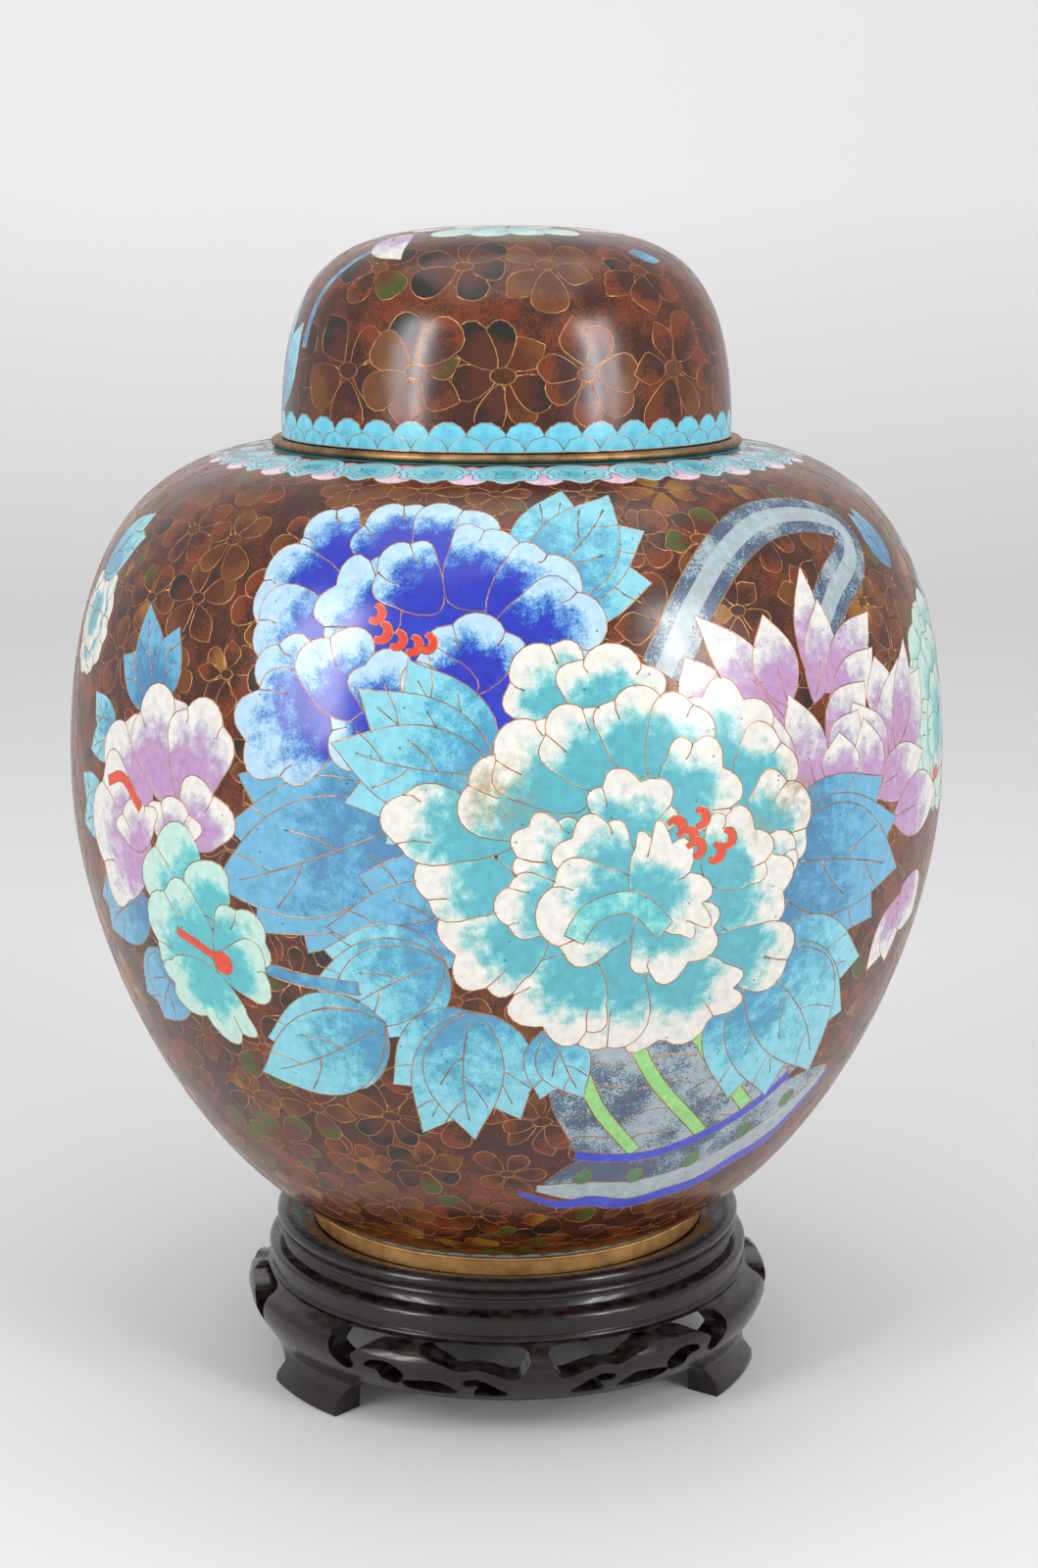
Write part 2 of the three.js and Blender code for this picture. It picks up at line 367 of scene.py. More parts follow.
def layLeaf(skin, base, turn, length, fingers=3, fan=50, enamel="skyLeaf", width=0.5):
    order = sorted(range(fingers), key=lambda k: -abs(k - (fingers - 1) / 2))
    for k in order:
        share = 2 * k / (fingers - 1) - 1 if fingers > 1 else 0
        reach = length * (1 - 0.22 * abs(share)) * random.uniform(0.94, 1.04)
        tip = base + reach * heading(turn + share * fan / 2)
        bow = random.uniform(0.02, 0.07) * (1 if share > 0 else -1)
        line, spine = leafLine(base, tip, width * length, bow)
        veins = [spine[1:-2]]
        for j, side in ((4, 1), (6, -1), (8, 1)):
            way, across, _ = alongLine(base, tip)
            end = spine[j] + (way * 0.2 + across * side * 0.3 * width) * length
            veins.append(smoothLine([spine[j], (spine[j] + end) / 2 - way * 0.03 * length, end], 3))
        lay(skin, line, enamel, base - 0.3 * (tip - base), tip, veins)


peonyRings = [
    # petals, reach, root, width and lobes, as shares of the flower's radius
    (8, 1.0, 0.2, 0.84, 5),
    (6, 0.72, 0.1, 0.74, 5),
    (4, 0.46, 0.0, 0.6, 4),
    (2, 0.26, -0.06, 0.4, 3),
]


def layPeony(skin, centre, radius, eye, enamel, flatten=1.0, rings=peonyRings, start=20):
    for number, (count, reach, root, width, lobes) in enumerate(rings):
        middle = eye + (centre - eye) * reach
        for k in range(count):
            turn = start + number * 23 + 360 * k / count + random.uniform(-7, 7)
            way = heading(turn) * np.array([1, flatten])
            tip = middle + way * radius * reach * random.uniform(0.93, 1.05)
            base = middle + way * radius * root
            size = width * radius * random.uniform(0.92, 1.1)
            line, cuts = petalLine(base, tip, size, lobes, 0.1 * radius * width)
            lay(skin, line, enamel, base + 0.22 * (tip - base), tip, cuts)


def layPetals(skin, rows, enamel, depth=0.16):
    # rows give root and tip as degrees and height, then width and lobes, lowest petal first
    for fromDegrees, fromHeight, toDegrees, toHeight, width, lobes in rows:
        base, tip = spot(skin, fromDegrees, fromHeight), spot(skin, toDegrees, toHeight)
        if lobes:
            line, cuts = petalLine(base, tip, width * 1.12, lobes, depth * width, random.uniform(0.25, 0.4))
            if lobes > 1:
                cuts = cuts[::2] if lobes > 3 else cuts
            lay(skin, line, enamel, base + 0.22 * (tip - base), tip, cuts)
        else:
            line, spine = leafLine(base, tip, width * 1.1, random.uniform(-0.04, 0.04), 0.95)
            lay(skin, line, enamel, base, tip, [spine[1:6]])


def layStamens(skin, eye, turn, spacing, count, size=1.7):
    for k in range(count):
        place = eye + heading(turn) * spacing * (k - (count - 1) / 2) + heading(turn + 90) * (k % 2) * 1.2
        lay(skin, roundLine(place, size, 9), "coral")


def layAster(skin, centre, length, enamel):
    count = 13
    for reach, root, number, offset, plump in ((1.0, 0.2, count, 0, 1), (0.66, 0.1, count - 4, 0.5, 1.1)):
        for k in range(number):
            turn = 360 * (k + offset) / number + random.uniform(-4, 4)
            base = centre + heading(turn) * root * length
            tip = centre + heading(turn) * reach * length * random.uniform(0.88, 1.06)
            width = 0.3 * length * plump
            line, spine = leafLine(base, tip, width, random.uniform(-0.05, 0.05), 1.15)
            lay(skin, line, enamel, base, tip, [spine[1:5]])
    for k in range(5):
        tip = centre + heading(72 * k) * 0.34 * length
        line, _ = leafLine(centre, tip, 0.2 * length, 0.0, 1.1)
        lay(skin, line, enamel, centre, tip)


def layCrescents(skin, rows):
    # rows give degrees, height, size and turn
    for degrees, height, size, turn in rows:
        lay(skin, crescentLine(spot(skin, degrees, height), size, turn), "coral")


enamels = {
    # colour near the root, colour at the edge, and how sandy the change is
    "ground": ((60, 23, 9), (112, 46, 14), 0.8),
    "groundAmber": ((84, 34, 12), (106, 58, 15), 0.5),
    "groundOchre": ((138, 92, 20), (96, 44, 14), 0.5),
    "groundDark": ((76, 34, 14), (26, 24, 15), 0.4),
    "groundGreen": ((84, 36, 12), (64, 76, 16), 0.5),
    "cobaltPetal": ((36, 48, 170), (172, 204, 224), 0.26),
    "cobaltDeep": ((36, 48, 170), (44, 58, 180), 0.4),
    "turquoisePetal": ((84, 166, 178), (219, 216, 207), 0.16),
    "turquoise": ((82, 166, 180), (90, 174, 184), 0.3),
    "lilacPetal": ((178, 140, 180), (220, 217, 210), 0.22),
    "mintPetal": ((82, 176, 184), (184, 216, 204), 0.22),
    "skyLeaf": ((76, 144, 178), (130, 198, 212), 0.3),
    "deepLeaf": ((68, 124, 164), (102, 168, 200), 0.3),
    "slate": ((74, 86, 110), (156, 168, 174), 1.0),
    "paleSlate": ((158, 170, 176), (168, 182, 184), 0.4),
    "cobalt": ((52, 62, 188), (70, 84, 200), 0.4),
    "green": ((140, 200, 118), (150, 206, 130), 0.4),
    "darkGreen": ((62, 112, 70), (84, 132, 88), 0.8),
    "coral": ((216, 62, 40), (222, 74, 50), 0.2),
    "scallop": ((98, 188, 212), (112, 202, 224), 0.3),
    "cloud": ((70, 158, 178), (120, 196, 206), 0.4),
    "cloudEdge": ((120, 186, 216), (150, 206, 226), 0.3),
    "pink": ((206, 160, 190), (226, 200, 214), 0.3),
    "lining": ((66, 150, 164), (66, 150, 164), 0.3),
}


# The picture on the front of the jar, laid from the back to the front.
# A place is degrees from the middle of the picture and millimetres up from the foot.

basket = {
    # each line as degrees and heights
    "handle": [
        (19, 168), (24, 182), (31, 194), (40, 201.5), (50, 202), (57, 197), (55, 189), (48, 182), (42, 172),
    ],
    "belly": [
        (12, 100), (7, 84), (6, 70), (9, 58), (12, 50.5), (23, 49), (34, 54), (44, 65), (49, 74),
        (46, 88), (40, 104),
    ],
    "ribs": [[(9, 82), (13, 66), (20, 51)], [(15, 90), (21, 72), (31, 54)], [(24, 88), (30, 74), (38, 60)]],
    "foot": [
        (6, 42), (12, 50), (23, 48.5), (34, 53), (44, 64), (56, 64), (52, 52), (42, 43), (30, 37), (16, 35),
    ],
    "hem": [(5, 40), (12, 38), (22, 36), (33, 39), (43, 46), (52, 55), (56, 63)],
    "studs": [(12.5, 43.5), (21.5, 42), (31.5, 44.5), (40.5, 51), (47.5, 58)],
    "edge": [
        (2, 38.5), (9, 33), (15, 33.5), (22, 30.5), (29, 32.5), (36, 34.5), (42, 40), (49, 44),
        (53, 52), (58, 62),
    ],
    "belt": [(10.5, 51.5), (17, 49.5), (24, 49.5), (33, 54), (40, 60), (45, 66.5)],
}


def layRibbon(skin, points, width, enamel, ends=1.0, wired=True):
    lay(skin, ribbonLine(spots(skin, points), width, ends), enamel, wired=wired)


def layBasket(skin):
    layRibbon(skin, basket["handle"], 11, "slate")
    layRibbon(skin, basket["handle"], 4.4, "paleSlate", wired=False)
    weave = []
    for k in range(6):
        for start in range(7, 47, 10):
            low = 54 + 7.5 * k + 0.012 * (start - 16) ** 2 + random.uniform(-1, 1)
            strand = [(start, low), (start + 4, low + 3), (start + 9, low + 1.6)]
            weave.append(smoothLine(spots(skin, strand), 4))
    body = smoothLine(spots(skin, basket["belly"]))
    lay(skin, body, "slate", spot(skin, -60, 60), spot(skin, 84, 82), weave)
    for rib in basket["ribs"]:
        layRibbon(skin, rib, 3.6, "green")
    lay(skin, smoothLine(spots(skin, basket["foot"])), "slate", spot(skin, 20, 40), spot(skin, 60, 60))
    layRibbon(skin, basket["hem"], 8, "paleSlate", 0.3)
    for stud in spots(skin, basket["studs"]):
        lay(skin, roundLine(stud, 2.7), "darkGreen")
    layRibbon(skin, basket["edge"], 4.2, "cobalt", 0.4)
    layRibbon(skin, basket["belt"], 3, "cobalt")


whitePeony = [
    (9, 158, 2, 173, 17, 3), (12, 154, 13, 174, 20, 3), (23, 142, 30, 163, 21, 4),
    (28, 140, 35, 152, 15, 2), (28, 129, 38, 138, 18, 3), (26, 122, 37, 127, 10, 2),
    (22, 122, 36, 117, 18, 4), (24, 107, 38, 100, 14, 2), (20, 106, 24, 84, 27, 5),
    (13, 112, 13, 82, 16, 2), (10, 107, 4, 88, 21, 4), (5, 114, -7, 107, 21, 4),
    (2, 122, -10, 126, 15, 3), (2, 134, -14, 138, 14, 3), (7, 136, -5, 146, 15, 2),
    (9, 140, 0, 157, 16, 3), (12, 144, 6, 161, 14, 3), (15, 146, 16, 165, 16, 3),
    (17, 146, 23, 162, 13, 2), (18, 138, 27, 148, 19, 4), (24, 122, 31, 134, 17, 4),
    (12, 126, 1, 134, 14, 5), (9, 119, -1, 119, 12, 3), (13, 129, 16, 147, 17, 4),
    (15, 122, 7, 135, 15, 4), (17, 119, 4, 116, 20, 3), (17, 120, 23, 102, 19, 4),
    (15, 118, 23, 126, 24, 6),
]
cobaltPeony = [
    (-20, 192, -29, 204, 15, 3), (-13, 192, -19, 208, 17, 3), (-9, 188, -6, 210, 20, 2),
    (-7, 184, 1, 199, 20, 3), (-2, 180, 9, 191, 20, 3), (-2, 174, 12, 181, 19, 3),
    (-20, 184, -34, 187, 17, 2), (-18, 176, -33, 178, 15, 2), (-19, 162, -31, 169, 15, 3),
    (-17, 162, -33, 151, 21, 4), (-12, 160, -20, 150, 15, 3), (-13, 178, -23, 188, 18, 4),
    (-8, 182, -16, 196, 14, 3), (-18, 158, -22, 177, 16, 2), (-13, 156, -14, 173, 15, 3),
    (-4, 164, -3, 181, 17, 3), (-3, 166, -12, 167, 12, 3),
]
chrysanthemum = [
    (40, 162, 43, 189, 8, 0), (36, 154, 24, 180, 11, 0), (25, 158, 22, 171, 10, 0),
    (36, 158, 34, 179, 12, 0), (40, 158, 44, 181, 10, 0), (42, 160, 54, 176, 11, 0),
    (42, 154, 53, 168, 11, 0), (54, 149, 53, 166, 12, 0), (53, 138, 59, 164, 14, 0),
    (56, 141, 66, 160, 14, 0), (56, 144, 62, 168, 9, 0), (50, 136, 65, 141, 12, 0),
    (55, 128, 72, 129, 14, 0), (40, 136, 36, 161, 12, 0), (35, 138, 33, 158, 9, 0),
    (42, 146, 50, 161, 13, 0), (52, 136, 47, 157, 17, 0), (43, 142, 48, 155, 11, 0),
    (51, 134, 49, 153, 12, 0), (44, 138, 44, 151, 12, 0),
]
lilacFlower = [
    (-48, 132, -58, 147, 22, 3), (-43, 134, -48, 160, 19, 3), (-41, 134, -38, 159, 17, 3),
    (-41, 126, -36, 140, 15, 2), (-48, 122, -63, 126, 31, 3), (-44, 124, -43, 136, 15, 3),
    (-50, 122, -52, 133, 15, 3),
]
mintFlower = [
    (-38, 108, -48, 126, 20, 2), (-37, 110, -39, 123, 13, 1), (-38, 98, -50, 109, 23, 3),
    (-38, 98, -31, 112, 14, 3), (-39, 98, -30, 99, 13, 2), (-40, 98, -44, 81, 26, 4),
]


looseBud = [(61, 108, 56, 90, 11, 0), (60, 106, 62, 90, 10, 0), (61, 110, 70, 99, 14, 0)]
cobaltStamens = [
    # degrees, height, size, turn
    (-16, 181, 2.4, -20), (-15, 177, 2.6, -20), (-13, 175.5, 2.4, -20), (-11, 174.5, 2.4, -20),
    (-9.3, 175, 2.4, -20),
]
whiteStamens = [
    (20, 135, 2.5, 40), (23, 136.5, 2.5, 0), (21.5, 132.5, 2.5, 20), (22.5, 130, 2.5, 10),
    (26.5, 131.5, 2.5, -10), (25, 128.5, 2.5, -20),
]
edgeLeaves = [
    # degrees, height, heading, length, fingers, fan, enamel
    (66, 184, 100, 23, 2, 20, "deepLeaf"),
    (84, 166, 60, 36, 4, 60, "deepLeaf"),
    (88, 140, -10, 34, 4, 60, "skyLeaf"),
]
frontLeaves = [
    (2, 186, 34, 41, 4, 62, "skyLeaf"),
    (-47, 156, 116, 25, 3, 74, "deepLeaf"),
    (-74, 182, 38, 30, 2, 20, "skyLeaf"),
    (-56, 146, 172, 21, 2, 50, "skyLeaf"),
    (-59, 128, 178, 23, 2, 40, "skyLeaf"),
    (-50, 110, 197, 38, 2, 16, "deepLeaf"),
    (-46, 96, 217, 35, 2, 18, "deepLeaf"),
    (-11, 137, 201, 52, 5, 62, "deepLeaf"),
    (-2, 120, 192, 38, 3, 44, "deepLeaf"),
    (-7, 106, 203, 38, 4, 50, "skyLeaf"),
    (-15, 90, 206, 45, 3, 24, "skyLeaf"),
]
frontLeavesOver = [
    (-4, 94, 258, 40, 4, 66, "skyLeaf"),
    (6, 90, 278, 27, 2, 30, "skyLeaf"),
    (32, 124, -10, 52, 5, 62, "deepLeaf"),
    (31, 102, -46, 52, 5, 74, "skyLeaf"),
    (-1, 148, 172, 38, 5, 84, "skyLeaf"),
]


def layLeaves(skin, rows):
    for degrees, height, turn, length, fingers, fan, enamel in rows:
        layLeaf(skin, spot(skin, degrees, height), turn, length, fingers, fan, enamel)


def layPicture(skin):
    layBasket(skin)
    # right and left edges of the spray
    layLeaves(skin, edgeLeaves)
    eye = spot(skin, 74, 142)
    layPeony(skin, spot(skin, 75, 150), 28, eye, "mintPetal", rings=peonyRings[:3], start=5)
    layStamens(skin, spot(skin, 71, 132), 30, 2.6, 3)
    eye = spot(skin, -72, 172)
    layPeony(skin, spot(skin, -70, 171), 19, eye, "turquoisePetal", rings=peonyRings[1:3])
    layLeaves(skin, frontLeaves)
    layRibbon(skin, [(-18, 98), (-27, 99), (-36, 103)], 3.4, "deepLeaf")
    layPetals(skin, lilacFlower, "lilacPetal")
    layRibbon(skin, [(-58, 136), (-54, 138), (-50, 132)], 2.4, "coral")
    layPetals(skin, mintFlower, "mintPetal")
    layRibbon(skin, [(-45, 105), (-41, 102.5), (-38, 100)], 2.2, "coral")
    lay(skin, roundLine(spot(skin, -37.5, 99.5), 3), "coral")
    lay(skin, roundLine(spot(skin, -7, 176), 26, 24), "cobaltDeep")
    layPetals(skin, cobaltPeony, "cobaltPetal")
    layCrescents(skin, cobaltStamens)
    layPetals(skin, chrysanthemum, "lilacPetal")
    layPetals(skin, looseBud, "lilacPetal")
    layLeaves(skin, frontLeavesOver)
    lay(skin, roundLine(spot(skin, 15, 126), 30, 24), "turquoise")
    layPetals(skin, whitePeony, "turquoisePetal")
    layRibbon(skin, [(8, 111), (10, 117), (15, 119), (19, 112)], 5, "mintPetal")
    layCrescents(skin, whiteStamens)


backFlowers = [
    # degrees, height, radius, enamel, rings of petals, headings of its leaves
    (100, 186, 20, "lilacPetal", 2, (200, 320, 80)),
    (104, 112, 22, "turquoisePetal", 2, (250, 160, 20, 300)),
    (152, 178, 34, "lilacPetal", 3, (150, 100, 40, 200)),
    (134, 124, 25, "mintPetal", 2, (180, 230, 100, 290)),
    (230, 118, 27, "cobaltPetal", 3, (-60, -10, 50, 250)),
    (180, 126, 44, "turquoisePetal", 4, (200, 235, 270, 305, 340, 20)),
]


backStalks = [
    [(104, 112), (118, 96), (140, 84), (172, 86)],
    [(230, 118), (214, 100), (196, 90), (176, 84)],
    [(180, 100), (178, 84), (172, 62), (160, 42)],
]


def layBack(skin):
    # the back repeats the same flowers more plainly
    for stalk in backStalks:
        layRibbon(skin, stalk, 3.2, "deepLeaf")
    for degrees, height, radius, _, _, turns in backFlowers:
        middle = spot(skin, degrees, height)
        for k, turn in enumerate(turns):
            root = middle + heading(turn) * 0.55 * radius
            layLeaf(skin, root, turn, 24 + 0.55 * radius, 4, 60, ("skyLeaf", "deepLeaf")[k % 2])
    aster = spot(skin, 214, 168)
    for turn in (150, 60, 0, -40, 100):
        layLeaf(skin, aster + heading(turn) * 14, turn, 36, 4, 60, "deepLeaf")
    for degrees, height, radius, enamel, rings, _ in backFlowers[:-1]:
        middle = spot(skin, degrees, height)
        layPeony(skin, middle, radius, middle, enamel, 1, peonyRings[:rings], degrees)
    layAster(skin, aster, 38, "turquoisePetal")
    eye = spot(skin, 182, 128)
    layPeony(skin, spot(skin, 180, 126), 44, eye, "turquoisePetal", 0.95, peonyRings, 12)
    layCrescents(skin, [(178 + 2 * k, 129 + 1.5 * (k % 2), 2.6, 20 * k) for k in range(5)])


def layScallops(skin, count, height, radius, enamel, offset=0.0):
    wide = skin["ring"] / np.interp(height, skin["height"], skin["outline"][:, 0])
    for k in range(count):
        middle = spot(skin, 360 * (k + offset) / count, height)
        line = middle + roundLine(np.zeros(2), radius, 14) * np.array([wide, 1])
        lay(skin, line, enamel, middle + np.array([0, -radius]), middle + np.array([0, radius]))


def layShoulder(skin):
    count = 26
    wide = skin["ring"] / 70  # the sheet is wider than the jar is up here
    step = 360 / count
    for k in range(count):
        middle = spot(skin, step * (k + 0.5), 223)
        line, _ = petalLine(middle + np.array([0, 8]), middle - np.array([0, 5]), 9.5 * wide)
        lay(skin, line, "pink", middle + np.array([0, 6]), middle - np.array([0, 5]))
    for k in range(count):
        middle = spot(skin, step * k, 225.5)
        base, tip = middle + np.array([0, 7]), middle - np.array([0, 6.2])
        line, _ = petalLine(base, tip, 17 * wide, 5, 1.2 * wide, 0.1)
        lay(skin, line, "cloudEdge", middle, middle - np.array([0, 6]))
        inner = middle + (line - middle) * 0.8
        curls = []
        for side in (1, -1):
            coil = []
            centre = middle + np.array([side * 3.6 * wide, -0.8])
            for j in range(11):
                turn = 250 - side * 200 + side * j * 34
                coil.append(centre + heading(turn) * np.array([wide, 1]) * 2.3 * (1 - j / 14))
            curls.append(np.array(coil))
        curls.append(middle + np.array([(-2.5 * wide, -2.8), (0, -4.2), (2.5 * wide, -2.8)]))
        lay(skin, inner, "cloud", middle, middle - np.array([0, 5]), curls)


# The wire blossoms of the ground

def layGround(skin, spacing, size, low, high, petals=(5, 8)):
    motifs = skin["cells"], skin["veins"]
    skin["cells"], skin["veins"] = [], []
    rows = int((high - low) / (spacing * 0.86))
    for row in range(rows + 1):
        height = low + (high - low) * row / rows
        true = np.interp(height, skin["height"], skin["outline"][:, 0])
        wide = skin["ring"] / true
        count = max(4, round(2 * math.pi * true / spacing))
        for k in range(count):
            degrees = 360 * (k + (row % 2) * 0.5) / count
            shift = np.array([random.uniform(-2.4, 2.4) * wide, random.uniform(-2.2, 2.2)])
            middle = spot(skin, degrees, height) + shift
            layBlossom(skin, middle, size * random.uniform(0.86, 1.16), random.randint(*petals), wide)
    return motifs


def layBlossom(skin, middle, size, petals, wide=1.0):
    start = random.uniform(0, 360)
    stretch = np.array([wide, 1])
    kinds = ("ground", "groundAmber", "groundOchre", "groundDark", "groundGreen")
    main = random.choices(kinds, (7, 4, 1, 2, 1))[0]
    for k in range(petals):
        turn = start + 360 * k / petals + random.uniform(-12, 12)
        reach = size * random.uniform(0.8, 1.15)
        base, tip = heading(turn) * 0.14 * reach, heading(turn) * reach
        plump = random.uniform(0.46, 0.7) * reach * min(1, 7 / petals)
        if random.random() < 0.25:
            line, _ = leafLine(base, tip, plump, random.uniform(-0.12, 0.12), 1.2, 9)
        else:
            line, _ = petalLine(base, tip, plump, random.choice((0, 2, 3)), 0.06 * plump, 0.4)
        own = main if random.random() < 0.6 else random.choices(kinds, (4, 4, 1, 2, 1))[0]
        lay(skin, middle + line * stretch, own, middle + base * stretch, middle + tip * stretch)
    core = roundLine(np.zeros(2), 0.17 * size, 9) * np.array([1.25, 0.8])
    lay(skin, middle + core * stretch, random.choice(("ground", "groundAmber", "groundDark")))


def inside(points, line):
    # even and odd crossings of the closed line to the right of each point
    low, high = line.min(0), line.max(0)
    near = np.flatnonzero(np.all((points >= low) & (points <= high), 1))
    if not len(near):
        return near
    x, y = points[near, 0][:, None], points[near, 1][:, None]
    ax, ay = line.T
    bx, by = np.roll(ax, -1), np.roll(ay, -1)
    spans = (ay > y) != (by > y)
    slope = np.where(by == ay, 1, by - ay)
    crossed = spans & (x < (bx - ax) * (y - ay) / slope + ax)
    return near[crossed.sum(1) % 2 == 1]


def joinGround(skin, motifs):
    # the ground's own cells have no veins
    ground = skin["cells"]
    cells, cellVeins = motifs
    points = np.concatenate([cell["line"] for cell in ground])
    owner = np.repeat(np.arange(len(ground)), [len(cell["line"]) for cell in ground])
    hidden = np.zeros(len(points), bool)
    for cell in cells:
        hidden[inside(points, cell["line"])] = True
    shown = [cell for k, cell in enumerate(ground) if not hidden[owner == k].all()]
    skin["cells"] = shown + cells
    skin["veins"] = [(k + len(shown), vein) for k, vein in cellVeins]


def wireRuns(skin, step):
    # each wire is cut into short steps, and the steps that a later cell covers are dropped
    lines, orders, closed = [], [], []
    for k, cell in enumerate(skin["cells"]):
        if cell["wired"]:
            lines.append(np.concatenate([cell["line"], cell["line"][:1]]))
            orders.append(k)
            closed.append(True)
    for k, vein in skin["veins"]:
        lines.append(vein)
        orders.append(k)
        closed.append(False)
    fine = []
    for line in lines:
        space, _ = toSpace(skin, line)
        lengths = np.linalg.norm(np.diff(space, axis=0), axis=1) / mm
        parts = np.maximum(1, np.ceil(lengths / step)).astype(int)
        made = [line[:1]]
        for a, b, count in zip(line, line[1:], parts):
            t = np.arange(1, count + 1)[:, None] / count
            made.append(a + (b - a) * t)
        fine.append(np.concatenate(made))
    points = np.concatenate(fine)
    owner = np.repeat(orders, [len(line) for line in fine])
    hidden = np.zeros(len(points), bool)
    for k, cell in enumerate(skin["cells"]):
        found = inside(points, cell["line"])
        hidden[found[owner[found] < k]] = True
    runs, start = [], 0
    for line, isClosed in zip(fine, closed):
        seen = ~hidden[start:start + len(line)]
        start += len(line)
        if seen.all():
            runs.append((line[:-1] if isClosed else line, isClosed))
            continue
        if isClosed:
            first = int(np.argmin(seen))
            line = np.concatenate([line[first:-1], line[:first + 1]])
            seen = np.concatenate([seen[first:-1], seen[:first + 1]])
        edges = np.flatnonzero(np.diff(np.concatenate([[0], seen.astype(int), [0]])))
        for a, b in zip(edges[::2], edges[1::2]):
            if b - a >= 3:
                runs.append((line[max(a - 1, 0):b + 1], False))
    return runs


def thinned(line, isClosed, bend=math.radians(17), longest=6):
    # straight stretches keep only the corners that they need
    kept = [0]
    turned = 0.0
    way = np.diff(np.concatenate([line, line[:1]]) if isClosed else line, axis=0)
    angle = np.unwrap(np.arctan2(way[:, 1], way[:, 0]))
    for k in range(1, len(line) - (0 if isClosed else 1)):
        turned += abs(angle[k] - angle[k - 1])
        if turned > bend or k - kept[-1] >= longest:
            kept.append(k)
            turned = 0.0
    if not isClosed:
        kept.append(len(line) - 1)
    return line[kept]


def meshObject(name, corners, faces):
    mesh = bpy.data.meshes.new(name)
    mesh.from_pydata(corners.tolist(), [], faces)
    mesh.shade_smooth()
    made = bpy.data.objects.new(name, mesh)
    bpy.context.collection.objects.link(made)
    return made


def makeWires(name, skin, width, proud, material):
    corners, faces, start = [], [], 0
    for line, isClosed in wireRuns(skin, 0.55):
        line = thinned(line, isClosed)
        if len(line) < 3:
            continue
        place, out = toSpace(skin, line)
        ahead = np.roll(place, -1, 0) - np.roll(place, 1, 0)
        if not isClosed:
            ahead[0], ahead[-1] = place[1] - place[0], place[-1] - place[-2]
        side = np.cross(ahead, out)
        side /= np.linalg.norm(side, axis=1)[:, None] + 1e-12
        sunk = place - out * 0.06 * mm
        half = side * width / 2 * mm
        ring = np.stack([sunk - half, place + out * proud * mm, sunk + half], 1)
        count = len(line)
        corners.append(ring.reshape(-1, 3))
        for k in range(count if isClosed else count - 1):
            a, b = start + 3 * k, start + 3 * ((k + 1) % count)
            faces += [(a, b, b + 1, a + 1), (a + 1, b + 1, b + 2, a + 2), (a + 2, b + 2, b, a)]
        if not isClosed:
            last = start + 3 * (count - 1)
            faces += [(start, start + 1, start + 2), (last + 2, last + 1, last)]
        start += 3 * count
    made = meshObject(name, np.concatenate(corners), faces)
    made.data.materials.append(material)
    print(name, "triangles", sum(len(face) - 2 for face in faces))
    return made


def colourRow(kind):
    deep, pale, sandiness = enamels[kind]
    return [*linear(deep), sandiness, *linear(pale), 1]


